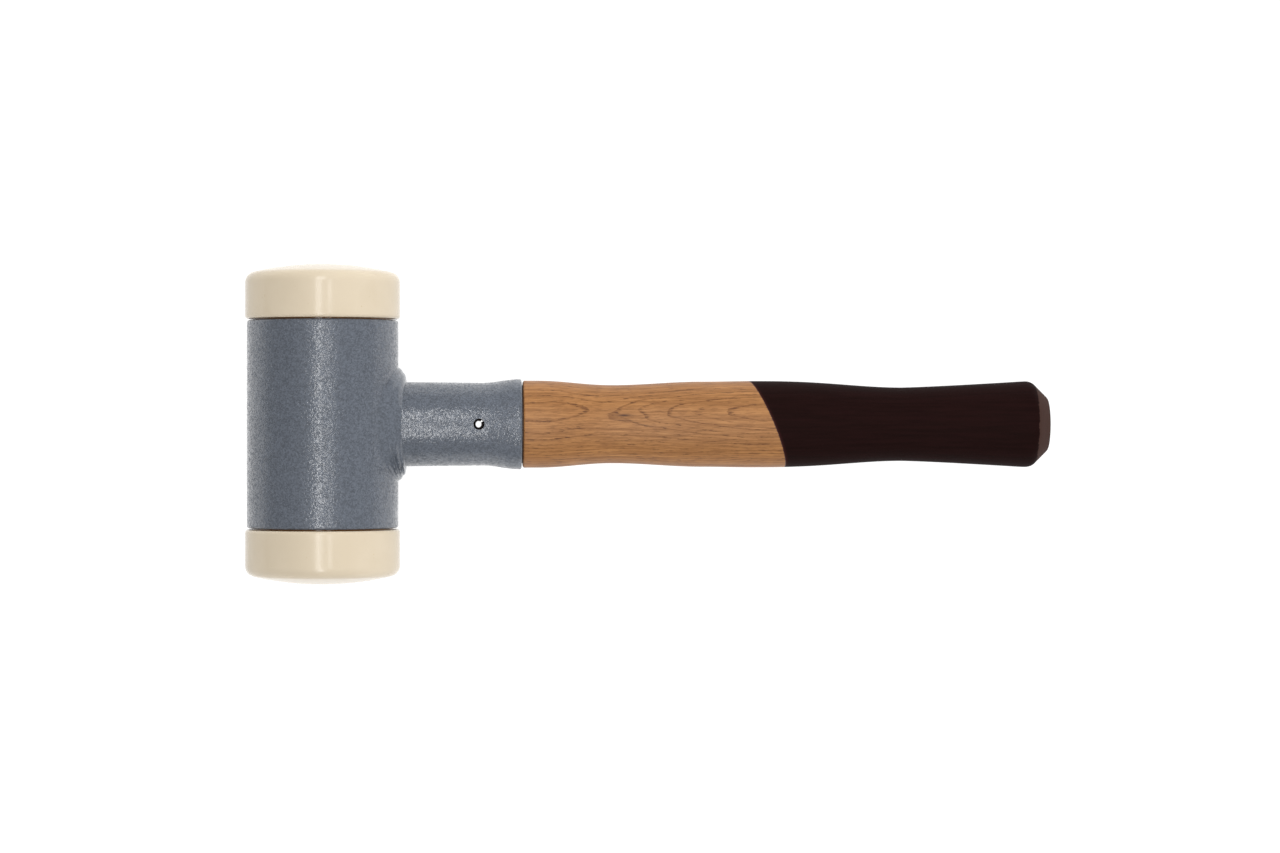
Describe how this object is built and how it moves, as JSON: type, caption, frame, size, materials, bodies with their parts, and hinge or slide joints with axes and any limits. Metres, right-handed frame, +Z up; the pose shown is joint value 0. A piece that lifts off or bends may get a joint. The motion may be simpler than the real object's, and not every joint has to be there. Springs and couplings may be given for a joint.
{
  "type": "recoilless soft-face hammer",
  "caption": "Recoilless soft-face hammer lying on its side: shot-filled steel tube head, two nylon faces, welded handle socket and a pinned oval wooden handle.",
  "frame": {"origin": "middle of the bounding box at table height, with the hammer lying on its side as it rests on a table", "axes": "+X from the head towards the handle's butt, level with the table; +Y along the head's axis, out of striking face 1; +Z up from the table. The handle slopes down towards its butt by 3.26 degrees, so that both striking faces and the butt touch the table"},
  "size_m": [0.3658, 0.145, 0.07],
  "materials": {
    "head_paint": "blue-grey hammered enamel, semi-gloss",
    "socket_paint": "blue-grey hammered enamel, semi-gloss",
    "weld_paint": "blue-grey enamel over a weld bead",
    "face_nylon": "ivory nylon, satin",
    "disc_steel": "bare steel",
    "shot_steel": "bare steel",
    "handle_wood": "lacquered hickory, dipped dark brown at the grip",
    "pin_steel": "black oxide"
  },
  "bodies": {
    "hammer": {"head_tube": "head_paint", "handle_socket": "socket_paint", "socket_weld": "weld_paint", "striking_face_1": "face_nylon", "striking_face_2": "face_nylon", "chamber_disc_1": "disc_steel", "chamber_disc_2": "disc_steel", "handle": "handle_wood", "spring_pin": "pin_steel"},
    "shot": {"steel_shot": "shot_steel"}
  },
  "joints": [
    {"name": "shot_slide", "type": "slide", "parent": "hammer", "child": "shot", "axis": [0, 1, 0], "range_m": [-0.0098, 0.0098]}
  ]
}
